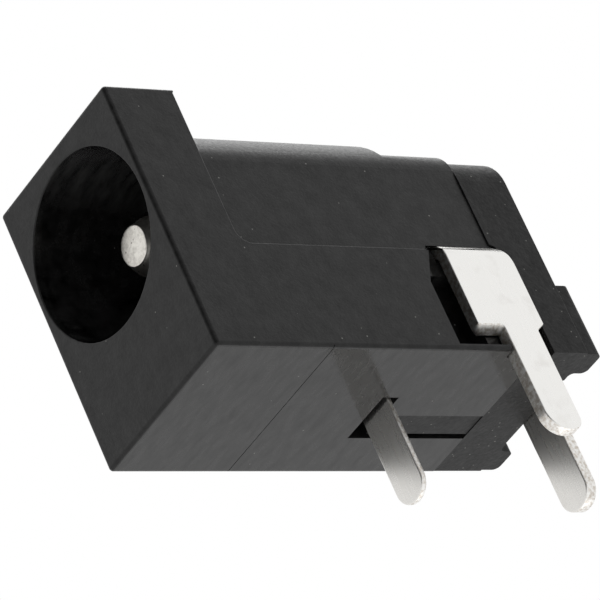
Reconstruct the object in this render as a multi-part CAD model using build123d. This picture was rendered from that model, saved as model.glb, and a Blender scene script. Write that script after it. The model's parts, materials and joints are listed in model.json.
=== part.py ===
"""A barrel jack for a direct-current plug, soldered to a circuit board.

A moulded housing takes the plug. A rear cover closes it and carries the centre pin with its riveted
terminal. A folded sleeve spring presses on the plug's barrel, and a shunt contact rests on the spring
until a plug pushes the spring away.

Frame: X across, Y from the mouth to the back, Z up. The origin is on the board, under the front face.
All sizes are in millimetres.
"""

import os
from math import atan2, cos, sin

from build123d import *

# Housing, outside
FRONT_WIDTH = 7.0
FRONT_HEIGHT = 10.5
FLANGE_THICKNESS = 2.86
HOUSING_LENGTH = 13.65
BASE_HEIGHT = 4.18
STEP_RADIUS = 0.5
BODY_INSET = 0.18
BODY_TOP = 8.88
BODY_CORNER = 1.2
BARREL_WALL = 0.72
BARREL_SETBACK = 2.74
BARREL_INSET = 0.135
EDGE_RADIUS = 0.06
WITNESS_DEPTH = 4.8
WITNESS_WIDTH = 0.07
WITNESS_CUT = 0.03

# Housing, inside
BORE_HEIGHT = 6.63
MOUTH_DIAMETER = 6.4
MOUTH_DEPTH = 1.6
LEAD_LENGTH = 2.4
BORE_DIAMETER = 5.8
CAVITY_DEPTH = 3.65
CAVITY_SIDE_WALL = 0.72
CAVITY_TOP_WALL = 0.6
CAVITY_CORNER = 0.6
CAVITY_DROP = 0.46
CHANNEL_WIDTH = 2.68
CHANNEL_OFFSET = -0.17
CHANNEL_FLOOR = 0.9
SLOT_LENGTH = 5.03
TONGUE_SLOT_WIDTH = 1.28
POCKET_LENGTH = 3.5
POCKET_LEAN = 0.75
POCKET_LEAN_HEIGHT = 1.8
POCKET_LIP = 0.2
RELIEF_DEPTH = 0.6
RELIEF_ROOF = 0.3

# Clearances between pieces
FIT_GAP = 0.05
PRESS_GAP = 0.01
SPRING_SIDE_GAP = 0.15
SPRING_FRONT_GAP = 0.45
TAIL_FRONT_GAP = 0.16
TAIL_SIDE_GAP = 0.06
TAIL_REAR_GAP = 0.29
TONGUE_SIDE_GAP = 0.23
BOSS_GAP = 0.2

# Sleeve spring
SPRING_THICKNESS = 0.22
SPRING_TAIL_WIDTH = 1.44
SPRING_TAIL_CENTER = -0.01
SPRING_TAIL_LENGTH = 3.6
SPRING_FOOT = 3.69
SPRING_FOLD = 1.9
SPRING_BEND = 0.3
SPRING_NOSE_BEND = 0.6
SPRING_CREST_SETBACK = 5.35
SPRING_CREST_BEND = 1.0
SPRING_BITE = 0.4
SPRING_REST_SETBACK = 3.15
SPRING_END_SETBACK = 0.75
PLUG_DIAMETER = 5.5

# Shunt contact
CONTACT_THICKNESS = 0.45
CONTACT_PROUD = 0.05
CONTACT_SETBACK = 2.325
CONTACT_FOOT = 0.965
CONTACT_FOOT_CORNER = 0.12
CONTACT_SHOULDER = 0.15
CONTACT_BEND = 0.2
CONTACT_CORNER = 1.0
CONTACT_TAIL_FRONT = 1.08
CONTACT_TAIL_WIDTH = 1.44
CONTACT_TAIL_LENGTH = 3.25
CONTACT_TIP_RADII = (0.75, 0.5)
CONTACT_HEEL = 0.37
CONTACT_HEEL_HEIGHT = 0.8
CONTACT_HEEL_RISE = 0.26
CONTACT_HEEL_CORNER = 0.08
TAB_HEIGHT = 4.1
TAB_SETBACK = 0.3
TAB_WIDTH = 1.5
TAB_REACH = -0.5

# Rear cover
COVER_LENGTH = 2.14
COVER_INSET = 0.12
COVER_TOP = 8.74
COVER_CORNER = 1.5
COVER_EDGE = 0.06
BOSS_LENGTH = 3.45
TONGUE_LIFT = 0.03
NUB_LENGTH = 0.65
NUB_WIDTH = 1.08
NUB_HEIGHT = 2.48
NUB_INSET = 0.06
NUB_CORNER = 0.25
NUB_TOP_CORNER = 0.12
NUB_FILLET = 0.2

# Centre pin
PIN_DIAMETER = 2.0
PIN_TIP = 1.7
PIN_TIP_DIAMETER = 1.3
PIN_TAPER = 0.55
PIN_DOME = 0.04
SHANK_DIAMETER = 1.8
COLLAR_DIAMETER = 3.0
COLLAR_THICKNESS = 0.5
SPIGOT_DIAMETER = 1.5
RIVET_DIAMETER = 2.3
RIVET_HEIGHT = 0.3

# Centre terminal
TERMINAL_THICKNESS = 0.46
TERMINAL_TAIL_WIDTH = 1.46
TERMINAL_TAIL_LENGTH = 3.95
TERMINAL_PLATE_WIDTH = 2.4
TERMINAL_PLATE_FOOT = 0.7
TERMINAL_EYE_DIAMETER = 3.4
TERMINAL_SHOULDER = 0.3

# Share of half a tail's width that its rounded tip takes
TIP_ROUNDING = 0.96

# Places that several pieces share. A setback is measured forwards from the housing's rear end.
half_width = FRONT_WIDTH / 2
body_half = half_width - BODY_INSET
cavity_front = HOUSING_LENGTH - CAVITY_DEPTH
cavity_half = body_half - CAVITY_SIDE_WALL
cavity_top = BODY_TOP - CAVITY_TOP_WALL
cavity_floor = TAB_HEIGHT - CAVITY_DROP
channel_low = CHANNEL_OFFSET - CHANNEL_WIDTH / 2
channel_high = CHANNEL_OFFSET + CHANNEL_WIDTH / 2
slot_front = HOUSING_LENGTH - SLOT_LENGTH
contact_outside = half_width + CONTACT_PROUD
contact_inside = contact_outside - CONTACT_THICKNESS
contact_front = HOUSING_LENGTH - CONTACT_SETBACK
contact_tail_front = contact_front + CONTACT_TAIL_FRONT
contact_tail_rear = contact_tail_front + CONTACT_TAIL_WIDTH
contact_rear = contact_tail_rear + CONTACT_HEEL
pocket_floor = contact_inside - FIT_GAP
tab_top = TAB_HEIGHT + CONTACT_THICKNESS
tab_front = contact_front + TAB_SETBACK
bend_end = contact_inside - CONTACT_BEND
bend_low = TAB_HEIGHT - CONTACT_BEND
tail_front = slot_front + TAIL_FRONT_GAP
tail_rear = tail_front + SPRING_THICKNESS
tail_slot_rear = tail_rear + TAIL_REAR_GAP
tail_slot_high = SPRING_TAIL_CENTER + SPRING_TAIL_WIDTH / 2 + TAIL_SIDE_GAP
tongue_slot_high = channel_low + TONGUE_SLOT_WIDTH
boss_front = HOUSING_LENGTH - BOSS_LENGTH
boss_floor = tab_top + BOSS_GAP
cover_half = half_width - COVER_INSET
cover_rear = HOUSING_LENGTH + COVER_LENGTH
terminal_rear = cover_rear + TERMINAL_THICKNESS


def block(x_range, y_range, z_range):
    """A plain block between two places on each axis."""
    ranges = (x_range, y_range, z_range)
    sizes = [high - low for low, high in ranges]
    corner = [low for low, high in ranges]
    return Pos(*corner) * Box(*sizes, align=(Align.MIN, Align.MIN, Align.MIN))


def along_y(section, start, end):
    """A section drawn in X and Z, made solid from one depth to another."""
    return extrude(Plane.XZ.offset(-start) * section, amount=start - end)


def along_x(outline, start, end):
    """An outline drawn in Y and Z, made solid from one side to another."""
    return extrude(Plane.YZ.offset(start) * outline, amount=end - start)


def rectangle(low, high):
    """A flat rectangle between two opposite corners."""
    size = (high[0] - low[0], high[1] - low[1])
    return Pos(*low) * Rectangle(*size, align=(Align.MIN, Align.MIN))


def round_corners(sketch, corners, radius):
    """The sketch with the named corners rounded."""
    vertices = [sketch.vertices().sort_by_distance((*corner, 0))[0] for corner in corners]
    return fillet(vertices, radius)


def rounded_top(half, floor, top, radius):
    """A section with an upright wall on each side and two rounded upper corners."""
    section = rectangle((-half, floor), (half, top))
    return round_corners(section, [(-half, top), (half, top)], radius)


def tail(center, width, tip, root):
    """The outline of a solder tail with a rounded tip, in the plane of its broad face."""
    low, high = center - width / 2, center + width / 2
    outline = rectangle((low, tip), (high, root))
    return round_corners(outline, [(low, tip), (high, tip)], TIP_ROUNDING * width / 2)


def housing_shell():
    """The flange and base in one side profile, with the barrel on the narrower body between them."""
    profile = make_face(
        Polyline(
            (0, 0),
            (HOUSING_LENGTH, 0),
            (HOUSING_LENGTH, BASE_HEIGHT),
            (FLANGE_THICKNESS, BASE_HEIGHT),
            (FLANGE_THICKNESS, FRONT_HEIGHT),
            (0, FRONT_HEIGHT),
            close=True,
        )
    )
    profile = round_corners(profile, [(FLANGE_THICKNESS, BASE_HEIGHT)], STEP_RADIUS)
    shell = along_x(profile, -half_width, half_width)
    front = shell.faces().sort_by(Axis.Y)[0].edges()
    top = shell.faces().sort_by(Axis.Z)[-1].edges().filter_by(Axis.Y)
    bottom = shell.faces().sort_by(Axis.Z)[0].edges().filter_by(Axis.Y)
    shell = fillet(front + top + bottom, EDGE_RADIUS)
    body = along_y(rounded_top(body_half, 0, BODY_TOP, BODY_CORNER), EDGE_RADIUS, HOUSING_LENGTH)
    barrel = Pos(0, BORE_HEIGHT) * Circle(BORE_DIAMETER / 2 + BARREL_WALL)
    barrel_half = body_half - BARREL_INSET
    barrel &= rectangle((-barrel_half, BORE_HEIGHT), (barrel_half, FRONT_HEIGHT))
    return shell + body + along_y(barrel, FLANGE_THICKNESS, HOUSING_LENGTH - BARREL_SETBACK)


def plug_bore():
    """The plug's way in: the mouth, a tapered lead-in and the long bore behind it."""
    mouth = MOUTH_DIAMETER / 2
    bore = BORE_DIAMETER / 2
    profile = make_face(
        Polyline(
            (0, 0),
            (mouth, 0),
            (mouth, MOUTH_DEPTH),
            (bore, MOUTH_DEPTH + LEAD_LENGTH),
            (bore, cavity_front),
            (0, cavity_front),
            close=True,
        )
    )
    return Pos(0, 0, BORE_HEIGHT) * revolve(profile, Axis.Y)


def spring_channel():
    """The spring's channel under the bore, with slots in its floor for the solder tail and the tongue."""
    nose = tail_rear - SPRING_FOOT - SPRING_FRONT_GAP
    upper = rectangle((nose, CHANNEL_FLOOR), (HOUSING_LENGTH, BORE_HEIGHT))
    tail_slot = make_face(
        Polyline(
            (nose, CHANNEL_FLOOR),
            (slot_front, CHANNEL_FLOOR),
            (slot_front, 0),
            (tail_slot_rear, 0),
            (tail_slot_rear, BORE_HEIGHT),
            (nose, BORE_HEIGHT),
            close=True,
        )
    )
    tail_slot = round_corners(tail_slot, [(slot_front, CHANNEL_FLOOR)], SPRING_BEND)
    tongue_slot = rectangle((slot_front, 0), (HOUSING_LENGTH, CHANNEL_FLOOR))
    return [
        along_x(upper, channel_low, channel_high),
        along_x(tail_slot, channel_low, tail_slot_high),
        along_x(tongue_slot, channel_low, tongue_slot_high),
    ]


def contact_pocket():
    """The pocket in the housing's side for the shunt contact, with a slot that follows the contact's bend."""
    front = HOUSING_LENGTH - POCKET_LENGTH
    roof = tab_top + PRESS_GAP
    outline = make_face(
        Polyline(
            (front, POCKET_LIP),
            (HOUSING_LENGTH, POCKET_LIP),
            (HOUSING_LENGTH, roof),
            (front + POCKET_LEAN, roof),
            (front, roof - POCKET_LEAN_HEIGHT),
            close=True,
        )
    )
    pocket = along_x(outline, pocket_floor, half_width)
    relief_end = (contact_front + CONTACT_TAIL_FRONT / 2, cavity_floor - RELIEF_ROOF)
    relief = outline & rectangle((front, POCKET_LIP), relief_end)
    pocket += along_x(relief, pocket_floor - RELIEF_DEPTH, pocket_floor)
    gate_y = (contact_tail_front - FIT_GAP, HOUSING_LENGTH)
    pocket += block((pocket_floor, half_width), gate_y, (0, POCKET_LIP))
    slot_y = (contact_front - FIT_GAP, HOUSING_LENGTH)
    pocket += block((cavity_half, half_width), slot_y, (bend_low, roof))
    shoulder = rectangle((bend_end, bend_low), (half_width, roof))
    shoulder -= Pos(bend_end, bend_low) * Circle(CONTACT_BEND + CONTACT_THICKNESS + PRESS_GAP)
    return pocket - along_y(shoulder, front, HOUSING_LENGTH)


def housing():
    """The shell with the plug's bore, the rear cavity, the spring's channel and the contact's pocket."""
    cavity_section = rounded_top(cavity_half, cavity_floor, cavity_top, CAVITY_CORNER)
    cavity = along_y(cavity_section, cavity_front, HOUSING_LENGTH)
    witness_y = (WITNESS_DEPTH - WITNESS_WIDTH / 2, WITNESS_DEPTH + WITNESS_WIDTH / 2)
    witness = block((-half_width, half_width), witness_y, (0, WITNESS_CUT))
    return housing_shell() - [plug_bore(), cavity, *spring_channel(), contact_pocket(), witness]


def rear_cover():
    """The cover's plate with its boss for the pin, its tongue in the slot and two nubs by the terminal."""
    section = rounded_top(cover_half, 0, COVER_TOP, COVER_CORNER)
    plate = along_y(section, HOUSING_LENGTH, cover_rear)
    plate = fillet(plate.faces().sort_by(Axis.Y)[-1].edges(), COVER_EDGE)
    boss_section = rounded_top(
        cavity_half - FIT_GAP, boss_floor, cavity_top - FIT_GAP, CAVITY_CORNER - FIT_GAP
    )
    boss = along_y(boss_section, boss_front, HOUSING_LENGTH)
    tongue_x = (channel_low + TONGUE_SIDE_GAP, tongue_slot_high - PRESS_GAP)
    tongue = block(tongue_x, (tail_slot_rear, HOUSING_LENGTH), (TONGUE_LIFT, CHANNEL_FLOOR))
    cover = plate + boss + tongue + nub() + mirror(nub(), about=Plane.YZ)
    hole = Circle(SHANK_DIAMETER / 2 + PRESS_GAP)
    return cover - contact_notch() - along_y(Pos(0, BORE_HEIGHT) * hole, boss_front, cover_rear)


def contact_notch():
    """The notch in the cover's edge that takes the rear end of the shunt contact."""
    corner = (contact_rear + FIT_GAP, tab_top + FIT_GAP)
    outline = round_corners(rectangle((contact_front, 0), corner), [corner], CONTACT_CORNER)
    outside = along_x(outline, pocket_floor, half_width)
    bend_y = (HOUSING_LENGTH, contact_rear + FIT_GAP)
    bend = along_x(outline, bend_end - FIT_GAP, half_width)
    bend &= block((bend_end - FIT_GAP, half_width), bend_y, (bend_low, tab_top + FIT_GAP))
    return outside + bend


def nub():
    """One of the two upright nubs that guard the terminal, blended into the cover's rear face."""
    inner = cover_half - NUB_INSET - NUB_WIDTH
    outer = cover_half - NUB_INSET
    root = cover_rear - COVER_LENGTH / 2
    rear = cover_rear + NUB_LENGTH
    blend = 2 * NUB_FILLET
    plan = rectangle((inner, root), (outer, rear)) + rectangle((inner - blend, root), (inner, cover_rear))
    plan = round_corners(plan, [(inner, rear), (outer, rear)], NUB_CORNER)
    plan = round_corners(plan, [(inner, cover_rear)], NUB_FILLET)
    top = NUB_HEIGHT + blend
    side = rectangle((root, 0), (rear, NUB_HEIGHT)) + rectangle((root, NUB_HEIGHT), (cover_rear, top))
    side = round_corners(side, [(rear, NUB_HEIGHT)], NUB_TOP_CORNER)
    side = round_corners(side, [(cover_rear, NUB_HEIGHT)], NUB_FILLET)
    return extrude(plan, amount=top) & along_x(side, inner - blend, outer)


def cap(apex, edge, radius):
    """Half the outline of a ball-shaped cap, from its apex on the axis to its edge."""
    height = edge - apex
    ball = (radius**2 + height**2) / (2 * height)
    half_angle = atan2(radius, abs(ball - height)) / 2
    middle = (abs(ball) * sin(half_angle), apex + ball * (1 - cos(half_angle)))
    return ThreePointArc((0, apex), middle, (radius, edge))


def center_pin():
    """The turned pin: domed tip, taper, contact length, collar, shank and riveted end."""
    collar_front = boss_front - COLLAR_THICKNESS
    radii = {
        "tip": PIN_TIP_DIAMETER / 2,
        "pin": PIN_DIAMETER / 2,
        "collar": COLLAR_DIAMETER / 2,
        "shank": SHANK_DIAMETER / 2,
        "spigot": SPIGOT_DIAMETER / 2,
        "rivet": RIVET_DIAMETER / 2,
    }
    dome_edge = PIN_TIP + PIN_DOME
    rivet_top = terminal_rear + RIVET_HEIGHT
    side = Polyline(
        (radii["tip"], dome_edge),
        (radii["pin"], dome_edge + PIN_TAPER),
        (radii["pin"], collar_front),
        (radii["collar"], collar_front),
        (radii["collar"], boss_front),
        (radii["shank"], boss_front),
        (radii["shank"], cover_rear),
        (radii["spigot"], cover_rear),
        (radii["spigot"], terminal_rear),
        (radii["rivet"], terminal_rear),
    )
    dome = cap(PIN_TIP, dome_edge, radii["tip"])
    rivet = cap(rivet_top, terminal_rear, radii["rivet"])
    axis = Line((0, rivet_top), (0, PIN_TIP))
    profile = make_face([dome, side, rivet, axis])
    return Pos(0, 0, BORE_HEIGHT) * revolve(profile, Axis.Y)


def center_terminal():
    """The stamped terminal behind the cover: an eye round the rivet, a plate and a solder tail."""
    outline = tail(0, TERMINAL_TAIL_WIDTH, -TERMINAL_TAIL_LENGTH, TERMINAL_PLATE_FOOT)
    plate_half = TERMINAL_PLATE_WIDTH / 2
    plate = rectangle((-plate_half, TERMINAL_PLATE_FOOT), (plate_half, BORE_HEIGHT))
    feet = [(-plate_half, TERMINAL_PLATE_FOOT), (plate_half, TERMINAL_PLATE_FOOT)]
    outline += round_corners(plate, feet, TERMINAL_SHOULDER)
    outline += Pos(0, BORE_HEIGHT) * Circle(TERMINAL_EYE_DIAMETER / 2)
    outline -= Pos(0, BORE_HEIGHT) * Circle(SPIGOT_DIAMETER / 2 + PRESS_GAP)
    return along_y(outline, cover_rear, terminal_rear)


def strip(route, low, high, thickness):
    """A strip of sheet metal between two places across, bent along a route drawn in Y and Z."""
    path = Plane.YZ.offset((low + high) / 2) * route
    start = Plane(path @ 0, x_dir=(1, 0, 0), z_dir=path % 0)
    return sweep(start * Rectangle(high - low, thickness), path=path)


def sleeve_spring():
    """The folded leaf: solder tail, foot on the channel's floor, nose, crest in the bore and switch end."""
    half_sheet = SPRING_THICKNESS / 2
    tail_y = tail_front + half_sheet
    foot_y = slot_front - SPRING_BEND
    foot_z = CHANNEL_FLOOR + half_sheet
    bend_z = CHANNEL_FLOOR - SPRING_BEND
    nose_y = tail_rear - SPRING_FOOT + half_sheet
    crest_z = BORE_HEIGHT - PLUG_DIAMETER / 2 + SPRING_BITE - half_sheet
    rest_z = TAB_HEIGHT - half_sheet
    leaf_route = FilletPolyline(
        (foot_y, foot_z),
        (nose_y, foot_z),
        (nose_y, foot_z + SPRING_FOLD),
        (HOUSING_LENGTH - SPRING_CREST_SETBACK, crest_z),
        (HOUSING_LENGTH - SPRING_REST_SETBACK, rest_z),
        (HOUSING_LENGTH - SPRING_END_SETBACK, rest_z),
        radius=[SPRING_NOSE_BEND, SPRING_NOSE_BEND, SPRING_CREST_BEND, SPRING_CREST_BEND],
    )
    leaf = strip(leaf_route, channel_low + SPRING_SIDE_GAP, channel_high - SPRING_SIDE_GAP, SPRING_THICKNESS)
    tail_route = FilletPolyline(
        (tail_y, bend_z - half_sheet), (tail_y, foot_z), (foot_y - half_sheet, foot_z), radius=foot_z - bend_z
    )
    tail_low = SPRING_TAIL_CENTER - SPRING_TAIL_WIDTH / 2
    root = strip(tail_route, tail_low, tail_low + SPRING_TAIL_WIDTH, SPRING_THICKNESS)
    outline = tail(SPRING_TAIL_CENTER, SPRING_TAIL_WIDTH, -SPRING_TAIL_LENGTH, bend_z)
    return leaf + root + along_y(outline, tail_front, tail_rear)


def contact_outline():
    """The shunt contact's broad face seen from the side: plate, shoulder, solder tail and sloping heel."""
    tip = -CONTACT_TAIL_LENGTH
    front_radius, rear_radius = CONTACT_TIP_RADII
    heel = (contact_rear, CONTACT_HEEL_HEIGHT + CONTACT_HEEL_RISE)
    outline = make_face(
        Polyline(
            (contact_front, CONTACT_FOOT),
            (contact_tail_front, CONTACT_FOOT),
            (contact_tail_front, tip),
            (contact_tail_rear, tip),
            (contact_tail_rear, CONTACT_HEEL_HEIGHT),
            heel,
            (contact_rear, tab_top),
            (contact_front, tab_top),
            close=True,
        )
    )
    outline = round_corners(outline, [(contact_rear, tab_top)], CONTACT_CORNER)
    outline = round_corners(outline, [(contact_front, CONTACT_FOOT)], CONTACT_FOOT_CORNER)
    outline = round_corners(outline, [(contact_tail_front, CONTACT_FOOT)], CONTACT_SHOULDER)
    outline = round_corners(outline, [heel], CONTACT_HEEL_CORNER)
    outline = round_corners(outline, [(contact_tail_front, tip)], front_radius)
    return round_corners(outline, [(contact_tail_rear, tip)], rear_radius)


def shunt_contact():
    """The stamped contact on the housing's side, bent inwards over the end of the sleeve spring."""
    half_sheet = CONTACT_THICKNESS / 2
    plate_x = contact_inside + half_sheet
    tab_z = TAB_HEIGHT + half_sheet
    bend = CONTACT_BEND + half_sheet
    route = FilletPolyline(
        (plate_x, -CONTACT_TAIL_LENGTH), (plate_x, tab_z), (TAB_REACH, tab_z), radius=bend
    )
    path = Plane.XZ.offset(-(contact_front + contact_rear) / 2) * route
    start = Plane(path @ 0, x_dir=(1, 0, 0), z_dir=path % 0)
    sheet = sweep(start * Rectangle(CONTACT_THICKNESS, contact_rear - contact_front), path=path)
    outside = along_x(contact_outline(), bend_end, contact_outside)
    tab_y = (tab_front, tab_front + TAB_WIDTH)
    tab = block((TAB_REACH, bend_end), tab_y, (TAB_HEIGHT, tab_top))
    return (sheet & outside) + tab


def main():
    os.makedirs("parts", exist_ok=True)
    pieces = {
        "housing": housing(),
        "rear_cover": rear_cover(),
        "center_pin": center_pin(),
        "center_terminal": center_terminal(),
        "sleeve_spring": sleeve_spring(),
        "shunt_contact": shunt_contact(),
    }
    for name, piece in pieces.items():
        export_step(piece, f"parts/{name}.step")


if __name__ == "__main__":
    main()
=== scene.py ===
"""Looks for the barrel jack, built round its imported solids.

The moulded pieces and the stamped contacts are finer skins of their solids, with chosen edges rounded
as a mould or a die leaves them. The centre pin is turned from its profile. The stage is a white studio.
"""

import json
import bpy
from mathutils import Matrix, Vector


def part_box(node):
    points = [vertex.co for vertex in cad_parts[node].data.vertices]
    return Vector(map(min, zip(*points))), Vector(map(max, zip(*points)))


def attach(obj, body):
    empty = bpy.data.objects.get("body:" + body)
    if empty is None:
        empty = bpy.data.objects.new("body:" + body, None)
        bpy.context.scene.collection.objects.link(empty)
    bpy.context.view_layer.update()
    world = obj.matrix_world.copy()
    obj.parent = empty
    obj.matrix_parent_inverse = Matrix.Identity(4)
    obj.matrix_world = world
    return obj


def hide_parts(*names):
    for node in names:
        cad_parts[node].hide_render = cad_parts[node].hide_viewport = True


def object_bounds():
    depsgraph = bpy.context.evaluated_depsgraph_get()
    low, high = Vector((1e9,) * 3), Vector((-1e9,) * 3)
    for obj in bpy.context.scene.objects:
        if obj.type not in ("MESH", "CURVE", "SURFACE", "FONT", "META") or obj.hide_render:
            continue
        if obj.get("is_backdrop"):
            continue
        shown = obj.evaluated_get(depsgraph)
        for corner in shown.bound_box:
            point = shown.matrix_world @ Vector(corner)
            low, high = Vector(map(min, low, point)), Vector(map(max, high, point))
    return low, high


bl_info = {
    "name": "DC Barrel Jack",
    "version": (1, 0, 0),
    "blender": (4, 5, 0),
    "location": "View3D > Sidebar > Barrel Jack",
    "description": "Dresses the solids of a board-mounted barrel jack and sets its studio",
    "category": "Object",
}

from math import asin, copysign, cos, pi, radians, sin

import bmesh
import bpy
from bpy.props import FloatProperty, FloatVectorProperty, IntProperty, PointerProperty
from bpy.types import Node, NodeSocket, Operator, Panel, PropertyGroup
from mathutils import Euler, Vector
from mathutils.kdtree import KDTree

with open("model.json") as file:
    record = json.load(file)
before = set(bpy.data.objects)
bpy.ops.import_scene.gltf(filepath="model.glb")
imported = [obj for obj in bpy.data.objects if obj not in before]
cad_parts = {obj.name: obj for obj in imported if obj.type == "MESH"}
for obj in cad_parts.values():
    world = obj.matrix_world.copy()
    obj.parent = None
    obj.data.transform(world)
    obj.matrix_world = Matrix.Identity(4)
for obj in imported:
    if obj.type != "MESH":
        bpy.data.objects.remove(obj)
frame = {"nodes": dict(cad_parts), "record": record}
CAD_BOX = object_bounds()
BODY = "root"
MM = 0.001

MOUTH = next(mount for mount in frame["record"]["mounts"] if mount["name"] == "plug_mouth")

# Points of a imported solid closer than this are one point, and faces flatter than this are one face
MERGE = 0.002 * MM
FLAT = radians(0.5)

# An edge bent further than SHARP is rounded if what crosses its ends is ROOM roundings long. Elsewhere
# the rounding stops STUB roundings short, on an edge longer than LONG such stubs.
SHARP = radians(40)
ROOM = 1.4
STUB = 3
LONG = 3

# A face lies along a direction if its normal has less than this part in it
ALONG = 0.5

# The pocket that the side plate sits in: its floor's distance from the middle, the room ahead of the
# plate at the board and at the step in the side, and its top
POCKET_FLOOR = 2.4 * MM
POCKET_ROOM = 2.0 * MM
STEP_ROOM = 0.75 * MM
POCKET_TOP = 4.1 * MM

# The step in the housing's sides is narrower and lower than this
STEP_WIDTH = 0.25 * MM
STEP_TOP = 4.2 * MM

# Where the barrel stands on the body's rounded corner: the foot's place across and up, its reach, the
# depth at which the barrel ends, the height at which the corner starts, and how far it is filled out at
# the foot. A normal there with more than FOOT_WALL across belongs to the flat wall.
FOOT = Vector((3.185, 8.29)) * MM
FOOT_REACH = 0.09 * MM
BARREL_END = 11.0 * MM
CORNER_START = 7.68 * MM
FOOT_FILL = 0.053 * MM
FOOT_WALL = 0.99

# The hairline that a mould insert left across the underside: how far back it is, how near its points
# are, and its share of the width that the solid gives it
INSERT_LINE = 4.8 * MM
INSERT_REACH = 0.04 * MM
INSERT_SHARE = 0.4

# The front shoulder of the side plate: its height over the board, how far back it goes, how far the cut
# pulled its inner and outer edges down, and the reach of that. The outer edge is within PLATE_FACE of
# the jack's side.
SHOULDER = 0.965 * MM
SHOULDER_BACK = 12.5 * MM
SHOULDER_PULL = (0.13 * MM, -0.05 * MM)
SHOULDER_REACH = 0.12 * MM
PLATE_FACE = 0.2 * MM

# Under these heights the strips of the sleeve spring and of the side contact stand upright
SPRING_UPRIGHT = 0.5 * MM
PLATE_UPRIGHT = 3.4 * MM

# A normal's part in Z at which a face starts to be underside, and at which it fully is
UNDERSIDE = (-0.85, -0.98)

# How far the polish reaches into the bore's wall, and how far it stays off the outer wall
BORE_MARGIN = 0.01 * MM
WALL_MARGIN = 0.02 * MM

# The plastic: its index of refraction, the roughness that a polished mould leaves, how far roughness
# varies with the grain, and shares of its tone where the melt is cloudy and in the underside's streaks.
# The underside's lighter tone is painted light, for the brighter light that falls on it from below;
# its streaks are rub marks.
NYLON_IOR = 1.5
POLISHED = 0.14
ROUGH_SPREAD = 0.06
CLOUDY = (0.1, 3.2)
UNDERSIDE_LIGHT_AND_RUB = (0.35, 1.5)

# Sizes of the patterns in millimetres. Those of strokes and lines are across, back and up.
FLOW_SIZE = 0.7
RUB_STROKE = (1.1, 0.35, 0.35)
DUST_SIZE = 0.07
ROLLED_LINE = (0.05, 0.05, 1.8)
SMUDGE_SIZE = 0.9
TEAR_SIZE = 0.12
RING_SPACING = 0.09
SCUFF_SIZE = 0.16
PIT_SPACING = 0.28
PIT_SIZE = 0.09

# The share of a speck that has its full colour
SPECK_CORE = 0.6

# Waves that a Wave node draws in one unit at a scale of 1
WAVES = 20 / (2 * pi)

# Inputs of a colour Mix node, whose names repeat: its share and its two colours
SHARE, FIRST, SECOND = 0, 6, 7

# The floor's radius, facets and gap under the longest tail, and the distances from the middle between
# which it fades into the white background
FLOOR_RADIUS = 1.5
FLOOR_FACETS = 96
FLOOR_GAP = 0.01 * MM
FADE = (25 * MM, 160 * MM)

# The side of the studio without a wall of light, where its soft edge starts and ends, and its darkness
UNLIT_SIDE = (0.64, -0.63, 0.44)
UNLIT_EDGE = (0.3, 0.95)
UNLIT_DEPTH = 0.95

# Each soft box's place from the middle of the jack, its width, and its share of the lamps' brightness
SOFT_BOXES = {
    "soft_box_above": (Vector((-0.10, 0.15, 0.38)), 0.34, 1.0),
    "soft_box_front": (Vector((0.34, -0.10, 0.22)), 0.26, 0.35),
    "soft_box_below": (Vector((-0.10, 0.12, -0.34)), 0.30, 0.5),
}

# The nearest and furthest that the camera sees
CLIP = (0.01, 20.0)


def linear(hex_colour):
    """An sRGB hex colour as linear red, green, blue and alpha."""
    parts = [int(hex_colour[i : i + 2], 16) / 255 for i in (1, 3, 5)]
    return (*[c / 12.92 if c <= 0.04045 else ((c + 0.055) / 1.055) ** 2.4 for c in parts], 1.0)


def per_mm(size):
    """The texture scale at which one feature is this many millimetres across."""
    return 1 / (size * MM)


def length(name, description, millimetres):
    """A length setting in metres, given in millimetres."""
    return FloatProperty(
        name=name,
        description=description,
        default=millimetres * MM,
        min=0.0,
        precision=6,
        unit="LENGTH",
    )


def colour(name, description, hex_colour):
    """A colour setting, given as an sRGB hex value."""
    return FloatVectorProperty(
        name=name,
        description=description,
        default=linear(hex_colour),
        size=4,
        min=0.0,
        max=1.0,
        subtype="COLOR",
    )


class JackEdges(PropertyGroup):
    """How far edges are rounded."""

    mouth: length("Mouth edge", "Rounding round the mouth", 0.05)
    side: length("Side edge", "Rounding of the steps in the housing's sides", 0.1)
    corner: length("Corner", "Rounding of the housing's outer corners", 0.15)
    solid: length("Solid's corner", "Rounding that the packed housing has there", 0.06)
    stamped: length("Stamped edge", "Die roll along the edges of the stamped contacts", 0.05)
    steps: IntProperty(
        name="Steps", description="Facets across a rounded edge", default=3, min=1, max=8
    )


class JackPin(PropertyGroup):
    """Sizes of the turned centre pin."""

    tip: length("Tip", "Diameter of the domed tip", 1.38)
    dome: length("Dome", "Height of the dome on the tip", 0.03)
    taper: length("Taper", "Length of the taper behind the tip", 0.55)
    pin: length("Pin", "Diameter that the plug slides on", 2.0)
    shank: length("Shank", "Diameter in the rear cover", 1.8)
    spigot: length("Spigot", "Diameter in the terminal's eye", 1.5)
    collar: length("Collar", "Thickness of the collar that seats on the cover", 0.5)
    seat: length("Seat", "Depth at which the collar seats on the cover", 10.2)
    head: length("Head", "Diameter of the riveted head", 2.3)
    rounding: length("Rounding", "Rounding of the turned corners", 0.05)
    segments: IntProperty(
        name="Segments", description="Facets round the pin", default=96, min=12, max=256
    )


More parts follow.
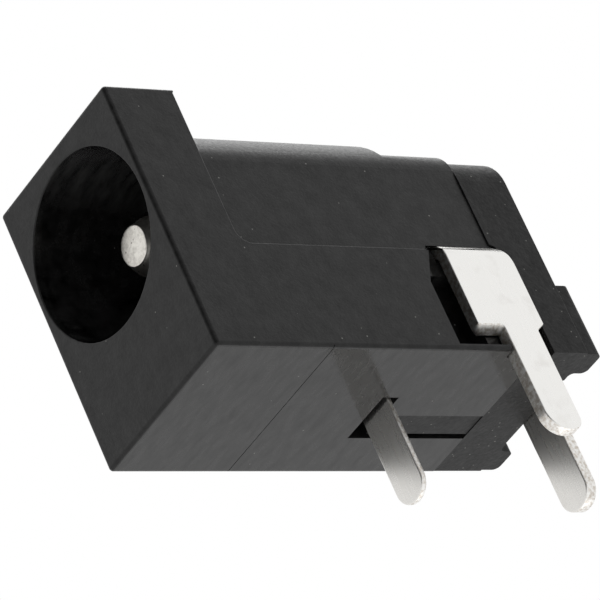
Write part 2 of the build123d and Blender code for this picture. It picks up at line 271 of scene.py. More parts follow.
class JackFinishes(PropertyGroup):
    """Colours of the finishes."""

    housing: colour("Housing", "Housing plastic", "#0c0c0c")
    # Painted light: the underside is lighter than the housing, for the brighter light from below; its
    # streaks are rub marks
    underside: colour("Underside", "Housing plastic where the board rubs it", "#2a2a2a")
    cover: colour("Cover", "Rear cover plastic", "#0c0c0c")
    speck: colour("Specks", "Dust and bare fibre ends on the plastics", "#72726f")
    tin: colour("Tin", "Plating of the side contact", "#eeedea")
    dull_tin: colour("Dull tin", "Plating of the two tails under the housing", "#e1dfdb")
    smudge: colour("Smudges", "Handling marks on the plating", "#d2cfca")
    sheared: colour("Sheared edge", "Thin plating on the cut sides of the contacts", "#c6beb4")
    nickel: colour("Nickel", "Plating of the centre pin", "#e4e1da")
    pit: colour("Pits", "Pits and scuffs in the pin's plating", "#857f76")


class JackStage(PropertyGroup):
    """The studio round the jack."""

    floor: colour("Floor", "Pale floor under the tails", "#f0f0ee")
    ambient: FloatProperty(name="Ambient", description="Light from all round", default=0.62, min=0.0)
    lamps: FloatProperty(
        name="Lamps", description="Brightness of the soft boxes", default=1.7, min=0.0
    )
    lens: FloatProperty(
        name="Lens", description="Focal length in millimetres", default=304.44, min=1.0
    )
    camera_place: FloatVectorProperty(
        name="Camera place",
        description="Where the camera stands, under the board's plane",
        default=(0.103795, -0.097721, -0.076582),
        precision=6,
        subtype="TRANSLATION",
        unit="LENGTH",
    )
    camera_turn: FloatVectorProperty(
        name="Camera turn",
        description="How the camera is turned and rolled",
        default=(radians(121.0817), radians(21.3449), radians(56.9155)),
        precision=5,
        subtype="EULER",
        unit="ROTATION",
    )


GROUPS = {
    "jack_edges": JackEdges,
    "jack_pin": JackPin,
    "jack_finishes": JackFinishes,
    "jack_stage": JackStage,
}


def add(tree, kind, inputs=None, **settings):
    """Adds a node with its settings. An input takes a value, or the socket or node that feeds it."""
    node = tree.nodes.new(kind)
    for name, value in settings.items():
        setattr(node, name, value)
    for key, value in (inputs or {}).items():
        if isinstance(value, Node):
            value = next(output for output in value.outputs if output.enabled)
        if isinstance(value, NodeSocket):
            tree.links.new(value, node.inputs[key])
        else:
            node.inputs[key].default_value = value
    return node


def start_material(name):
    """A new material with no nodes but the one for the place on the piece, which patterns read."""
    material = bpy.data.materials.new(name)
    material.use_nodes = True
    tree = material.node_tree
    tree.nodes.clear()
    place = add(tree, "ShaderNodeTexCoord").outputs["Object"]
    return material, tree, place


def finish_material(tree, inputs):
    """Ends a material in one shader with these inputs."""
    shader = add(tree, "ShaderNodeBsdfPrincipled", inputs)
    add(tree, "ShaderNodeOutputMaterial", {"Surface": shader})


def shades(tone, shares):
    """Shades of a colour, as shares of its brightness."""
    return [[part * share for part in tone[:3]] + [1.0] for share in shares]


def specks(tree, place, spacing, size):
    """A mask of sparse round specks, each up to the given size in millimetres."""
    cells = add(tree, "ShaderNodeTexVoronoi", {"Vector": place, "Scale": per_mm(spacing)})
    reach = size / spacing / 2
    return add(
        tree,
        "ShaderNodeMapRange",
        {"Value": cells, "From Min": reach, "From Max": reach * SPECK_CORE},
    )


def within(tree, place, low, high):
    """A mask of the places inside a box."""
    offset = add(tree, "ShaderNodeVectorMath", {0: place, 1: (low + high) / 2}, operation="SUBTRACT")
    share = add(tree, "ShaderNodeVectorMath", {0: offset, 1: (high - low) / 2}, operation="DIVIDE")
    distance = add(tree, "ShaderNodeVectorMath", {0: share}, operation="ABSOLUTE")
    spot = add(tree, "ShaderNodeSeparateXYZ", {"Vector": distance}).outputs
    across = add(tree, "ShaderNodeMath", {0: spot["X"], 1: spot["Y"]}, operation="MAXIMUM")
    furthest = add(tree, "ShaderNodeMath", {0: across, 1: spot["Z"]}, operation="MAXIMUM")
    return add(tree, "ShaderNodeMath", {0: furthest, 1: 1.0}, operation="LESS_THAN")


def polished_mould(tree, place):
    """Masks of the housing's smooth places: its underside, and the bore and pocket that cores left."""
    normal = add(tree, "ShaderNodeNewGeometry").outputs["Normal"]
    under = add(
        tree,
        "ShaderNodeMapRange",
        {
            "Value": add(tree, "ShaderNodeSeparateXYZ", {"Vector": normal}).outputs["Z"],
            "From Min": UNDERSIDE[0],
            "From Max": UNDERSIDE[1],
        },
    )
    axis = add(tree, "ShaderNodeVectorMath", {0: place, 1: MOUTH["pos_m"]}, operation="SUBTRACT")
    radial = add(tree, "ShaderNodeVectorMath", {0: axis, 1: (1.0, 0.0, 1.0)}, operation="MULTIPLY")
    radius = add(tree, "ShaderNodeVectorMath", {0: radial}, operation="LENGTH")
    wall = MOUTH["dims"]["r_mm"] * MM + BORE_MARGIN
    inside = add(tree, "ShaderNodeMath", {0: radius, 1: wall}, operation="LESS_THAN")
    depth = add(tree, "ShaderNodeSeparateXYZ", {"Vector": place}).outputs["Y"]
    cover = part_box("rear_cover")[0].y
    ahead = add(tree, "ShaderNodeMath", {0: depth, 1: cover}, operation="LESS_THAN")
    bore = add(tree, "ShaderNodeMath", {0: inside, 1: ahead}, operation="MULTIPLY")
    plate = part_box("shunt_contact")
    low = Vector((POCKET_FLOOR, plate[0].y - POCKET_ROOM, -MM))
    high = Vector((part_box("housing")[1].x - WALL_MARGIN, plate[1].y, POCKET_TOP))
    pocket = within(tree, place, low, high)
    cores = add(tree, "ShaderNodeMath", {0: bore, 1: pocket}, operation="MAXIMUM")
    return under, cores


def moulded_nylon(
    name, tones, speck, grit_size, rough, relief, uneven, dust_spacing, level, smooth_places=False
):
    """Glass-filled nylon from a spark-eroded mould: near black and satin, with a fine grain of pits.

    It is cloudy where the melt flowed. Where the mould was polished, it mirrors what stands on it.
    Its underside is painted lighter, as painted light from below, with rub streaks through it.
    """
    material, tree, place = start_material(name)
    # Pits and dust are about 0.03 mm across. Both are drawn coarser to show.
    grit = add(
        tree,
        "ShaderNodeTexNoise",
        {"Vector": place, "Scale": per_mm(grit_size), "Detail": 3.0, "Roughness": 0.6},
    )
    flow = add(
        tree,
        "ShaderNodeTexNoise",
        {"Vector": place, "Scale": per_mm(FLOW_SIZE), "Detail": 5.0, "Roughness": 0.75},
    )
    cloud = add(tree, "ShaderNodeMapRange", {"Value": flow, "From Min": 0.35, "From Max": 0.65})
    darker, lighter = shades(tones[0], CLOUDY)
    tone = add(
        tree, "ShaderNodeMix", {SHARE: cloud, FIRST: darker, SECOND: lighter}, data_type="RGBA"
    )
    satin = add(
        tree,
        "ShaderNodeMapRange",
        {
            "Value": grit,
            "From Min": 0.3,
            "From Max": 0.7,
            "To Min": rough - ROUGH_SPREAD,
            "To Max": rough + ROUGH_SPREAD,
        },
    )
    strength = 1.0
    if smooth_places:
        under, cores = polished_mould(tree, place)
        along = add(
            tree,
            "ShaderNodeMapping",
            {"Vector": place, "Scale": [per_mm(size) for size in RUB_STROKE]},
        )
        strokes = add(
            tree,
            "ShaderNodeTexNoise",
            {"Vector": along, "Scale": 1.0, "Detail": 3.0, "Roughness": 0.6},
        )
        streaks = add(
            tree, "ShaderNodeMapRange", {"Value": strokes, "From Min": 0.3, "From Max": 0.7}
        )
        # Painted light: faces that look down take the lighter underside tone, for the brighter light from
        # below, with rub streaks through it
        darker, lighter = shades(tones[1], UNDERSIDE_LIGHT_AND_RUB)
        rub_and_painted_light = add(
            tree, "ShaderNodeMix", {SHARE: streaks, FIRST: darker, SECOND: lighter}, data_type="RGBA"
        )
        tone = add(
            tree, "ShaderNodeMix", {SHARE: under, FIRST: tone, SECOND: rub_and_painted_light}, data_type="RGBA"
        )
        smooth = add(tree, "ShaderNodeMath", {0: under, 1: cores}, operation="MAXIMUM")
        satin = add(
            tree, "ShaderNodeMapRange", {"Value": smooth, "To Min": satin, "To Max": POLISHED}
        )
        strength = add(tree, "ShaderNodeMath", {0: 1.0, 1: smooth}, operation="SUBTRACT")
    dust = specks(tree, place, dust_spacing, DUST_SIZE)
    dusty = add(tree, "ShaderNodeMix", {SHARE: dust, FIRST: tone, SECOND: speck}, data_type="RGBA")
    height = add(tree, "ShaderNodeMath", {0: flow, 1: uneven, 2: grit}, operation="MULTIPLY_ADD")
    bump = add(
        tree, "ShaderNodeBump", {"Strength": strength, "Distance": relief * MM, "Height": height}
    )
    finish_material(
        tree,
        {
            "Base Color": dusty,
            "Roughness": satin,
            "IOR": NYLON_IOR,
            "Specular IOR Level": level,
            "Normal": bump,
        },
    )
    return material


def tin_plate(name, tin, smudge):
    """Matte tin on rolled bronze strip: almost white, with fine rolling lines along the tails."""
    material, tree, place = start_material(name)
    # Rolling lines are about 0.01 mm wide. They are drawn coarser to show.
    rolled = add(
        tree, "ShaderNodeMapping", {"Vector": place, "Scale": [per_mm(size) for size in ROLLED_LINE]}
    )
    lines = add(
        tree,
        "ShaderNodeTexNoise",
        {"Vector": rolled, "Scale": 1.0, "Detail": 4.0, "Roughness": 0.65},
    )
    clouds = add(
        tree, "ShaderNodeTexNoise", {"Vector": place, "Scale": per_mm(SMUDGE_SIZE), "Detail": 3.0}
    )
    handled = add(
        tree,
        "ShaderNodeMapRange",
        {"Value": clouds, "From Min": 0.55, "From Max": 0.85, "To Max": 0.6},
    )
    tone = add(tree, "ShaderNodeMix", {SHARE: handled, FIRST: tin, SECOND: smudge}, data_type="RGBA")
    satin = add(
        tree,
        "ShaderNodeMapRange",
        {"Value": lines, "From Min": 0.3, "From Max": 0.7, "To Min": 0.26, "To Max": 0.31},
    )
    bump = add(tree, "ShaderNodeBump", {"Distance": 0.00006 * MM, "Height": lines})
    finish_material(tree, {"Base Color": tone, "Metallic": 1.0, "Roughness": satin, "Normal": bump})
    return material


def sheared_strip(finishes):
    """The cut side of the strip: thinner plating over bronze, mottled where the metal tore."""
    material, tree, place = start_material("sheared_strip_edge")
    # Tears are about 0.05 mm wide. They are drawn coarser to show.
    torn = add(
        tree, "ShaderNodeTexNoise", {"Vector": place, "Scale": per_mm(TEAR_SIZE), "Detail": 4.0}
    )
    plated = add(tree, "ShaderNodeMapRange", {"Value": torn, "From Min": 0.34, "From Max": 0.6})
    tone = add(
        tree,
        "ShaderNodeMix",
        {SHARE: plated, FIRST: finishes.sheared, SECOND: finishes.tin},
        data_type="RGBA",
    )
    satin = add(
        tree,
        "ShaderNodeMapRange",
        {"Value": torn, "From Min": 0.3, "From Max": 0.7, "To Min": 0.36, "To Max": 0.46},
    )
    bump = add(tree, "ShaderNodeBump", {"Distance": 0.004 * MM, "Height": torn})
    finish_material(tree, {"Base Color": tone, "Metallic": 1.0, "Roughness": satin, "Normal": bump})
    return material


def turned_nickel(finishes):
    """Nickel on turned brass: bright and slightly warm, with tool rings, scuffs and a few pits."""
    material, tree, place = start_material("nickel_plated_turning")
    # Tool rings are about 0.05 mm apart. They are drawn coarser to show.
    rings = add(
        tree,
        "ShaderNodeTexWave",
        {
            "Vector": place,
            "Scale": per_mm(RING_SPACING) / WAVES,
            "Distortion": 0.6,
            "Detail": 1.0,
        },
        bands_direction="Y",
    ).outputs["Fac"]
    scuffs = add(
        tree,
        "ShaderNodeTexNoise",
        {"Vector": place, "Scale": per_mm(SCUFF_SIZE), "Detail": 4.0, "Roughness": 0.7},
    )
    scuffed = add(
        tree,
        "ShaderNodeMapRange",
        {"Value": scuffs, "From Min": 0.42, "From Max": 0.68, "To Max": 0.45},
    )
    worn = add(
        tree,
        "ShaderNodeMix",
        {SHARE: scuffed, FIRST: finishes.nickel, SECOND: finishes.pit},
        data_type="RGBA",
    )
    pits = specks(tree, place, PIT_SPACING, PIT_SIZE)
    tone = add(
        tree, "ShaderNodeMix", {SHARE: pits, FIRST: worn, SECOND: finishes.pit}, data_type="RGBA"
    )
    bump = add(tree, "ShaderNodeBump", {"Distance": 0.001 * MM, "Height": rings})
    finish_material(tree, {"Base Color": tone, "Metallic": 1.0, "Roughness": 0.3, "Normal": bump})
    return material


def has_room(edge, end, sharp, rounding):
    """Whether a rounding has room at one end of its edge, where another sharp edge may carry it on."""
    along = end.co - edge.other_vert(end).co
    for other in end.link_edges:
        turn = along.angle(other.other_vert(end).co - end.co)
        carries_on = other in sharp and turn < SHARP
        needed = rounding * (turn if carries_on else 1.0) * ROOM
        if other != edge and other.calc_length() < needed:
            return False
    return True


def sharp_edges(bm):
    """The edges that are bent too far to be part of a curve."""
    return {edge for edge in bm.edges if edge.calc_face_angle() > SHARP}


def split_ends(bm, rounding):
    """Cuts a stub off a long sharp edge that has no room at that end, where its rounding then stops."""
    sharp = sharp_edges(bm)
    for edge in sorted(sharp, key=lambda edge: edge.index):
        stub = STUB * rounding(edge)
        for end in tuple(edge.verts):
            cramped = end in edge.verts and not has_room(edge, end, sharp, rounding(edge))
            if cramped and edge.calc_length() > LONG * stub:
                bmesh.utils.edge_split(edge, end, stub / edge.calc_length())


def weigh_edges(bm, rounding, widest):
    """Gives each rounded edge its share of the widest rounding, and marks other bent edges as sharp."""
    weights = bm.edges.layers.float.new("bevel_weight_edge")
    sharp = sharp_edges(bm)
    for edge in sharp:
        wanted = rounding(edge)
        edge.smooth = wanted > 0 and all(has_room(edge, end, sharp, wanted) for end in edge.verts)
        edge[weights] = wanted / widest if edge.smooth else 0.0


def divide(bm, faces, depth):
    """Cuts the given faces across at a depth."""
    edges = dict.fromkeys(edge for face in faces for edge in face.edges)
    corners = dict.fromkeys(corner for face in faces for corner in face.verts)
    bmesh.ops.bisect_plane(
        bm,
        geom=[*faces, *edges, *corners],
        dist=MERGE,
        plane_co=(0.0, depth, 0.0),
        plane_no=(0.0, 1.0, 0.0),
    )


def skin(node, name, rounding=None, widest=0.0, steps=1, reshape=Vector, prepare=None):
    """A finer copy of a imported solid, with its flat faces joined and its chosen sharp edges rounded."""
    bm = bmesh.new()
    bm.from_mesh(frame["nodes"][node].data)
    bmesh.ops.remove_doubles(bm, verts=bm.verts, dist=MERGE)
    bmesh.ops.dissolve_limit(bm, angle_limit=FLAT, verts=bm.verts, edges=bm.edges)
    for vertex in bm.verts:
        vertex.co = reshape(vertex.co)
    for face in bm.faces:
        face.smooth = True
    if prepare:
        prepare(bm)
    if rounding:
        split_ends(bm, rounding)
        weigh_edges(bm, rounding, widest)
    mesh = bpy.data.meshes.new(name)
    bm.to_mesh(mesh)
    bm.free()
    packed_normals = mesh.attributes.get("custom_normal")
    if packed_normals:
        mesh.attributes.remove(packed_normals)
    mesh.materials.clear()
    piece = bpy.data.objects.new(name, mesh)
    bpy.context.scene.collection.objects.link(piece)
    if rounding:
        bevel = piece.modifiers.new("rounded_edges", "BEVEL")
        bevel.width = widest
        bevel.segments = steps
        bevel.limit_method = "WEIGHT"
        bevel.use_clamp_overlap = False
        bevel.miter_outer = "MITER_ARC"
    normals = piece.modifiers.new("flat_faces_stay_flat", "WEIGHTED_NORMAL")
    normals.weight = 100
    normals.keep_sharp = True
    return piece


def solid_normals(mesh, node, reshape=Vector):
    """The normals of a skin's corners: the solid's own where they share a point, to keep curves true."""
    solid = frame["nodes"][node].data
    facing = {i: face.normal for face in solid.polygons for i in face.loop_indices}
    tree = KDTree(len(solid.loops))
    for loop in solid.loops:
        tree.insert(reshape(solid.vertices[loop.vertex_index].co), loop.index)
    tree.balance()
    normals = [corner.vector.copy() for corner in mesh.corner_normals]
    for face in mesh.polygons:
        for i in face.loop_indices:
            place = mesh.vertices[mesh.loops[i].vertex_index].co
            shared = [index for _, index, _ in tree.find_range(place, MERGE)]
            match = max(shared, key=lambda j: facing[j].dot(face.normal), default=None)
            if match is not None and facing[match].angle(face.normal, pi) < SHARP:
                normals[i] = solid.corner_normals[match].vector.copy()
    return normals


def settle(piece):
    """Turns a piece with modifiers into a plain mesh."""
    graph = bpy.context.evaluated_depsgraph_get()
    mesh = bpy.data.meshes.new_from_object(
        piece.evaluated_get(graph), preserve_all_data_layers=True, depsgraph=graph
    )
    mesh.name = piece.name
    piece.modifiers.clear()
    piece.data = mesh


def hand_over(piece, node):
    """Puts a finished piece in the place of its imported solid."""
    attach(piece, BODY)
    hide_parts(node)


def mark_sheared(piece, is_sheared):
    """Gives the cut sides of a stamped piece its second finish."""
    for face in piece.data.polygons:
        face.material_index = int(is_sheared(face.center, face.normal))


def turning_tree():
    """Geometry Nodes that turn a profile, drawn along Y with its radius in Z, round an axis."""
    tree = bpy.data.node_groups.new("turned_profile", "GeometryNodeTree")
    sockets = (
        ("Profile", "NodeSocketGeometry"),
        ("Axis height", "NodeSocketFloat"),
        ("Rounding", "NodeSocketFloat"),
        ("Segments", "NodeSocketInt"),
        ("Finish", "NodeSocketMaterial"),
    )
    for name, kind in sockets:
        tree.interface.new_socket(name, in_out="INPUT", socket_type=kind)
    tree.interface.new_socket("Turned", in_out="OUTPUT", socket_type="NodeSocketGeometry")
    given = add(tree, "NodeGroupInput").outputs
    line = add(tree, "GeometryNodeMeshToCurve", {"Mesh": given["Profile"]})
    rounded = add(
        tree,
        "GeometryNodeFilletCurve",
        {"Curve": line, "Count": 3, "Radius": given["Rounding"], "Limit Radius": True},
        mode="POLY",
    )
    points = add(tree, "GeometryNodeAttributeDomainSize", {"Geometry": rounded}, component="CURVE")
    columns = add(tree, "FunctionNodeIntegerMath", {0: given["Segments"], 1: 1}, operation="ADD")
    sheet = add(
        tree,
        "GeometryNodeMeshGrid",
        {"Vertices X": points.outputs["Point Count"], "Vertices Y": columns},
    )
    index = add(tree, "GeometryNodeInputIndex")
    row = add(tree, "FunctionNodeIntegerMath", {0: index, 1: columns}, operation="DIVIDE_FLOOR")
    column = add(tree, "FunctionNodeIntegerMath", {0: index, 1: columns}, operation="FLOORED_MODULO")
    sample = add(
        tree,
        "GeometryNodeSampleIndex",
        {"Geometry": rounded, "Value": add(tree, "GeometryNodeInputPosition"), "Index": row},
        data_type="FLOAT_VECTOR",
    )
    spot = add(tree, "ShaderNodeSeparateXYZ", {"Vector": sample}).outputs
    share = add(tree, "ShaderNodeMath", {0: column, 1: given["Segments"]}, operation="DIVIDE")
    angle = add(tree, "ShaderNodeMath", {0: share, 1: 2 * pi}, operation="MULTIPLY")
    across = add(tree, "ShaderNodeMath", {0: angle}, operation="COSINE")
    upward = add(tree, "ShaderNodeMath", {0: angle}, operation="SINE")
    x = add(tree, "ShaderNodeMath", {0: across, 1: spot["Z"]}, operation="MULTIPLY")
    z = add(
        tree,
        "ShaderNodeMath",
        {0: upward, 1: spot["Z"], 2: given["Axis height"]},
        operation="MULTIPLY_ADD",
    )
    place = add(tree, "ShaderNodeCombineXYZ", {"X": x, "Y": spot["Y"], "Z": z})
    turned = add(tree, "GeometryNodeSetPosition", {"Geometry": sheet, "Position": place})
    closed = add(tree, "GeometryNodeMergeByDistance", {"Geometry": turned, "Distance": MERGE})
    real = add(tree, "GeometryNodeRealizeInstances", {"Geometry": closed})
    dressed = add(
        tree, "GeometryNodeSetMaterial", {"Geometry": real, "Material": given["Finish"]}
    )
    add(tree, "NodeGroupOutput", {"Turned": dressed})
    return tree


def ball_cap(apex, edge, radius, steps=8):
    """Profile points of a ball-shaped cap, from its apex on the axis to its edge."""
    height = edge - apex
    ball = (radius**2 + height**2) / (2 * height)
    reach = asin(radius / abs(ball))
    angles = [reach * i / steps for i in range(steps + 1)]
    return [(apex + ball * (1 - cos(a)), abs(ball) * sin(a)) for a in angles]


def pin_profile(sizes):
    """The pin's profile as depths and radii, from its tip to its riveted head."""
    low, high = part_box("center_pin")
    eye_low, eye_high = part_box("center_terminal")
    tip_edge = low.y + sizes.dome
    collar_radius = (high.x - low.x) / 2
    steps = [
        (tip_edge + sizes.taper, sizes.pin / 2),
        (sizes.seat - sizes.collar, sizes.pin / 2),
        (sizes.seat - sizes.collar, collar_radius),
        (sizes.seat, collar_radius),
        (sizes.seat, sizes.shank / 2),
        (eye_low.y, sizes.shank / 2),
        (eye_low.y, sizes.spigot / 2),
        (eye_high.y, sizes.spigot / 2),
    ]
    dome = ball_cap(low.y, tip_edge, sizes.tip / 2)
    head = ball_cap(high.y, eye_high.y, sizes.head / 2)
    return dome + steps + head[::-1]


class JACK_OT_housing(Operator):
    """Skins the housing with its moulded plastic"""

    bl_idname = "jack.housing"
    bl_label = "Housing"

    def execute(self, context):
        scene = context.scene
        edges = scene.jack_edges
        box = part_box("housing")
        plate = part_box("shunt_contact")[0].y

        def rounding(edge):
            if all(end.co.y < MERGE for end in edge.verts):
                return edges.mouth
            in_side = all(box[1].x - abs(end.co.x) < MERGE for end in edge.verts)
            is_ahead = min(end.co.y for end in edge.verts) < plate - POCKET_ROOM
            return edges.side if in_side and is_ahead else 0.0

        def reshape(place):
            return self.fill_foot(self.narrow_line(self.widen_corner(place, box, edges)))

        def prepare(bm):
            low = [face for face in bm.faces if all(v.co.z < STEP_TOP for v in face.verts)]
            beside = [face for face in low if all(box[1].x - v.co.x < STEP_WIDTH for v in face.verts)]
            divide(bm, beside, plate - STEP_ROOM)

        piece = skin(
            "housing", "housing_moulding", rounding, edges.side, edges.steps, reshape, prepare
        )
        finishes = scene.jack_finishes
        plastic = moulded_nylon(
            "housing_nylon_moulded",
            (finishes.housing, finishes.underside),
            finishes.speck,
            grit_size=0.1,
            rough=0.44,
            relief=0.004,
            uneven=4.5,
            dust_spacing=0.7,
            level=0.28,
            smooth_places=True,
        )
        piece.data.materials.append(plastic)
        settle(piece)
        normals = solid_normals(piece.data, "housing", reshape)
        self.soften_foot(piece.data, normals)
        piece.data.normals_split_custom_set(normals)
        hand_over(piece, "housing")
        return {"FINISHED"}

    def widen_corner(self, place, box, edges):
        """Moves a point of the outer corners inwards from the box, which widens their rounding."""
        low, high = box
        upright = high.z if place.z > high.z / 2 else low.z
        sides = (high.x if place.x > 0 else low.x, low.y, upright)
        near = [i for i in range(3) if abs(place[i] - sides[i]) < edges.solid + MERGE]
        moved = Vector(place)
        if len(near) > 1:
            for i in near:
                moved[i] = sides[i] + (place[i] - sides[i]) * edges.corner / edges.solid
        return moved

    def narrow_line(self, place):
        """Narrows the line of the mould insert to the hairline that a moulding shows."""
        offset = place.y - INSERT_LINE
        drawn = offset * INSERT_SHARE if abs(offset) < INSERT_REACH else offset
        return Vector((place.x, INSERT_LINE + drawn, place.z))

    def fill_foot(self, place):
        """Fills the body's corner out beside the barrel, which leaves no step at the barrel's foot."""
        share = (place.z - CORNER_START) / (FOOT.y - CORNER_START)
        is_beside = place.y < BARREL_END and abs(place.x) > FOOT.x - MERGE and 0 < share < 1
        fill = FOOT_FILL * share**2 if is_beside else 0.0
        return place + Vector((copysign(fill, place.x), 0.0, 0.0))

    def soften_foot(self, mesh, normals):
        """Gives the faces that meet at the barrel's foot one normal on each side, as a fillet has."""
        joined = {1: [], -1: []}
        for face in mesh.polygons:
            for i in face.loop_indices:
                place = mesh.vertices[mesh.loops[i].vertex_index].co
                near = (Vector((abs(place.x), place.z)) - FOOT).length < FOOT_REACH
                if near and place.y < BARREL_END and abs(face.normal.y) < ALONG:
                    joined[copysign(1, place.x)].append(i)
        for corners in joined.values():
            curves = [normals[i] for i in corners if abs(normals[i].x) < FOOT_WALL]
            for i in corners:
                normals[i] = sum(curves, Vector()).normalized()


class JACK_OT_rear_cover(Operator):
    """Skins the rear cover with its rougher plastic"""

    bl_idname = "jack.rear_cover"
    bl_label = "Rear Cover"

    def execute(self, context):
        piece = skin("rear_cover", "rear_cover_moulding")
        finishes = context.scene.jack_finishes
        plastic = moulded_nylon(
            "cover_nylon_moulded",
            (finishes.cover,),
            finishes.speck,
            grit_size=0.16,
            rough=0.52,
            relief=0.016,
            uneven=1.0,
            dust_spacing=0.34,
            level=0.24,
        )
        piece.data.materials.append(plastic)
        settle(piece)
        piece.data.normals_split_custom_set(solid_normals(piece.data, "rear_cover"))
        hand_over(piece, "rear_cover")
        return {"FINISHED"}


class JACK_OT_center_pin(Operator):
    """Turns the centre pin from its profile"""

    bl_idname = "jack.center_pin"
    bl_label = "Centre Pin"

    def execute(self, context):
        sizes = context.scene.jack_pin
        profile = [(0.0, depth, radius) for depth, radius in pin_profile(sizes)]
        mesh = bpy.data.meshes.new("center_pin_turned")
        mesh.from_pydata(profile, [(i, i + 1) for i in range(len(profile) - 1)], [])
        piece = bpy.data.objects.new("center_pin_turned", mesh)
        context.scene.collection.objects.link(piece)
        tree = turning_tree()
        low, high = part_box("center_pin")
        values = {
            "Axis height": (low.z + high.z) / 2,
            "Rounding": sizes.rounding,
            "Segments": sizes.segments,
            "Finish": turned_nickel(context.scene.jack_finishes),
        }
        turning = piece.modifiers.new("turning", "NODES")
        turning.node_group = tree
        for socket in tree.interface.items_tree:
            if socket.name in values:
                turning[socket.identifier] = values[socket.name]
        settle(piece)
        bm = bmesh.new()
        bm.from_mesh(piece.data)
        bmesh.ops.recalc_face_normals(bm, faces=bm.faces)
        bm.to_mesh(piece.data)
        bm.free()
        piece.data.shade_smooth()
        piece.data.set_sharp_from_angle(angle=SHARP)
        hand_over(piece, "center_pin")
        return {"FINISHED"}


class JACK_OT_contacts(Operator):
    """Skins the three stamped contacts with plated faces and sheared sides"""

    bl_idname = "jack.contacts"
    bl_label = "Stamped Contacts"

    def execute(self, context):
        scene = context.scene
        finishes = scene.jack_finishes
        bright = tin_plate("bright_tin_plated_strip", finishes.tin, finishes.smudge)
        dull = tin_plate("dull_tin_plated_strip", finishes.dull_tin, finishes.smudge)
        edge = sheared_strip(finishes)
        cut_sides = {
            "center_terminal": lambda place, normal: abs(normal.y) < ALONG,
            "sleeve_spring": lambda place, normal: (
                abs(normal.x) > ALONG or (place.z < SPRING_UPRIGHT and abs(normal.y) < ALONG)
            ),
            "shunt_contact": lambda place, normal: (
                abs(normal.y) > ALONG or (place.z < PLATE_UPRIGHT and abs(normal.x) < ALONG)
            ),
        }
        width = scene.jack_edges.stamped
        steps = scene.jack_edges.steps
        for node, is_cut in cut_sides.items():
            reshape = self.pull_shoulder if node == "shunt_contact" else Vector
            piece = skin(node, node + "_stamping", lambda edge: width, width, steps, reshape)
            piece.data.materials.append(bright if node == "shunt_contact" else dull)
            piece.data.materials.append(edge)
            mark_sheared(piece, is_cut)
            settle(piece)
            piece.data.normals_split_custom_set(solid_normals(piece.data, node, reshape))
            hand_over(piece, node)
        return {"FINISHED"}

    def pull_shoulder(self, place):
        """Slopes the underside of the plate's front shoulder, as a dull die leaves it."""
        nearness = max(0.0, 1 - abs(place.z - SHOULDER) / SHOULDER_REACH)
        share = nearness if place.y < SHOULDER_BACK else 0.0
        is_outer = place.x > CAD_BOX[1].x - PLATE_FACE
        return place - Vector((0.0, 0.0, share * SHOULDER_PULL[is_outer]))


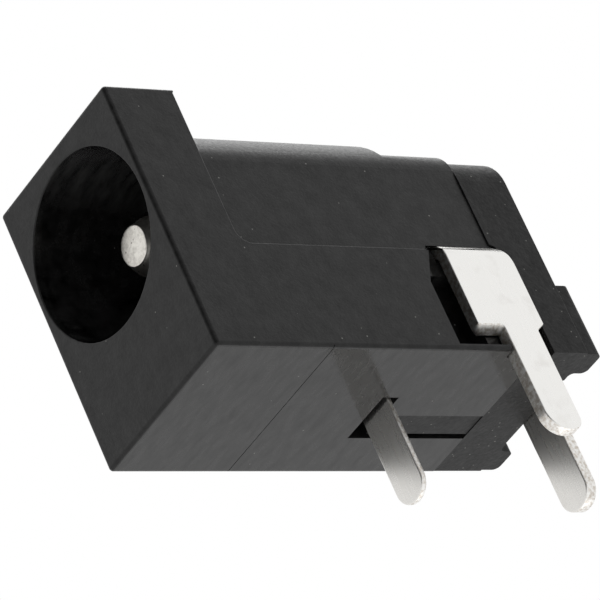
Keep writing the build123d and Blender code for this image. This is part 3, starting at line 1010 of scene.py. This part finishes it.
class JACK_OT_stage(Operator):
    """Sets the white studio: floor, soft boxes, surroundings and camera"""

    bl_idname = "jack.stage"
    bl_label = "Studio"

    def execute(self, context):
        stage = context.scene.jack_stage
        self.floor(context, stage)
        self.surroundings(context, stage)
        self.lamps(context, stage)
        self.camera(context, stage)
        context.scene.view_settings.view_transform = "Standard"
        return {"FINISHED"}

    def floor(self, context, stage):
        """A wide pale disc of paper under the longest tail, which fades out far from the jack.

        Light of the lamps and mirrored light pass through it, and the camera sees through it from below.
        """
        bm = bmesh.new()
        bmesh.ops.create_circle(bm, cap_ends=True, segments=FLOOR_FACETS, radius=FLOOR_RADIUS)
        bmesh.ops.translate(bm, verts=bm.verts, vec=(0.0, 0.0, CAD_BOX[0].z - FLOOR_GAP))
        mesh = bpy.data.meshes.new("studio_floor")
        bm.to_mesh(mesh)
        bm.free()
        floor = bpy.data.objects.new("studio_floor", mesh)
        context.scene.collection.objects.link(floor)
        material, tree, place = start_material("studio_floor_paper")
        rays = add(tree, "ShaderNodeLightPath").outputs
        back = add(tree, "ShaderNodeNewGeometry").outputs["Backfacing"]
        mirrored = add(
            tree, "ShaderNodeMath", {0: rays["Is Glossy Ray"], 1: back}, operation="MAXIMUM"
        )
        passed = add(
            tree, "ShaderNodeMath", {0: rays["Is Shadow Ray"], 1: mirrored}, operation="MAXIMUM"
        )
        away = add(tree, "ShaderNodeVectorMath", {0: place}, operation="LENGTH")
        faded = add(
            tree,
            "ShaderNodeMapRange",
            {"Value": away, "From Min": FADE[0], "From Max": FADE[1]},
            interpolation_type="SMOOTHSTEP",
        )
        through = add(tree, "ShaderNodeMath", {0: passed, 1: faded}, operation="MAXIMUM")
        paper = add(tree, "ShaderNodeBsdfDiffuse", {"Color": stage.floor})
        clear = add(tree, "ShaderNodeBsdfTransparent")
        mixed = add(tree, "ShaderNodeMixShader", {0: through, 1: paper, 2: clear})
        add(tree, "ShaderNodeOutputMaterial", {"Surface": mixed})
        mesh.materials.append(material)
        floor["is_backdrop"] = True

    def surroundings(self, context, stage):
        """White all round for the camera and for mirrored light, dimmer as a source of soft light.

        The unlit side of the studio shows as a soft dark patch in mirrored light only.
        """
        world = bpy.data.worlds.new("white_studio")
        context.scene.world = world
        world.use_nodes = True
        tree = world.node_tree
        tree.nodes.clear()
        rays = add(tree, "ShaderNodeLightPath").outputs
        seen = add(
            tree,
            "ShaderNodeMath",
            {0: rays["Is Camera Ray"], 1: rays["Is Glossy Ray"]},
            operation="MAXIMUM",
        )
        shown = add(
            tree, "ShaderNodeMath", {0: seen, 1: rays["Is Transmission Ray"]}, operation="MAXIMUM"
        )
        strength = add(
            tree, "ShaderNodeMapRange", {"Value": shown, "To Min": stage.ambient, "To Max": 1.0}
        )
        direction = add(tree, "ShaderNodeTexCoord").outputs["Generated"]
        towards = add(
            tree, "ShaderNodeVectorMath", {0: direction, 1: UNLIT_SIDE}, operation="DOT_PRODUCT"
        )
        dim = add(
            tree,
            "ShaderNodeMapRange",
            {
                "Value": towards,
                "From Min": UNLIT_EDGE[0],
                "From Max": UNLIT_EDGE[1],
                "To Max": UNLIT_DEPTH,
            },
            interpolation_type="SMOOTHSTEP",
        )
        unlit = add(
            tree, "ShaderNodeMath", {0: dim, 1: rays["Is Glossy Ray"]}, operation="MULTIPLY"
        )
        lit = add(tree, "ShaderNodeMath", {0: 1.0, 1: unlit}, operation="SUBTRACT")
        level = add(tree, "ShaderNodeMath", {0: strength, 1: lit}, operation="MULTIPLY")
        white = (1.0, 1.0, 1.0, 1.0)
        sky = add(tree, "ShaderNodeBackground", {"Color": white, "Strength": level})
        add(tree, "ShaderNodeOutputWorld", {"Surface": sky})

    def lamps(self, context, stage):
        """Large soft boxes that look at the jack: one above, one in front and one from below."""
        target = (CAD_BOX[0] + CAD_BOX[1]) / 2
        for name, (place, size, share) in SOFT_BOXES.items():
            data = bpy.data.lights.new(name, "AREA")
            data.size = size
            data.energy = stage.lamps * share * pi * size**2
            lamp = bpy.data.objects.new(name, data)
            lamp.location = target + place
            lamp.rotation_euler = (-place).to_track_quat("-Z", "Y").to_euler()
            context.scene.collection.objects.link(lamp)

    def camera(self, context, stage):
        """The camera at the picture's angle, rolled as it was."""
        data = bpy.data.cameras.new("camera")
        data.lens = stage.lens
        data.clip_start, data.clip_end = CLIP
        camera = bpy.data.objects.new("camera", data)
        camera.location = stage.camera_place
        camera.rotation_euler = Euler(stage.camera_turn)
        context.scene.collection.objects.link(camera)
        context.scene.camera = camera


class JACK_PT_sidebar(Panel):
    """Lists the jack's pieces and their settings"""

    bl_idname = "JACK_PT_sidebar"
    bl_label = "Barrel Jack"
    bl_space_type = "VIEW_3D"
    bl_region_type = "UI"
    bl_category = "Barrel Jack"

    def draw(self, context):
        for operator in OPERATORS:
            self.layout.operator(operator.bl_idname)
        for name, group in GROUPS.items():
            box = self.layout.box()
            for setting in group.__annotations__:
                box.prop(getattr(context.scene, name), setting)


OPERATORS = (
    JACK_OT_housing,
    JACK_OT_rear_cover,
    JACK_OT_center_pin,
    JACK_OT_contacts,
    JACK_OT_stage,
)


def register():
    for kind in (*GROUPS.values(), *OPERATORS, JACK_PT_sidebar):
        bpy.utils.register_class(kind)
    for name, group in GROUPS.items():
        setattr(bpy.types.Scene, name, PointerProperty(type=group))


def unregister():
    for name in GROUPS:
        delattr(bpy.types.Scene, name)
    for kind in (JACK_PT_sidebar, *OPERATORS[::-1], *GROUPS.values()):
        bpy.utils.unregister_class(kind)


def main():
    register()
    bpy.ops.jack.housing()
    bpy.ops.jack.rear_cover()
    bpy.ops.jack.center_pin()
    bpy.ops.jack.contacts()
    bpy.ops.jack.stage()
    boxes = {"cad": CAD_BOX, "visual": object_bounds()}
    {name: [list(corner) for corner in box] for name, box in boxes.items()}


if __name__ == "__main__":
    main()
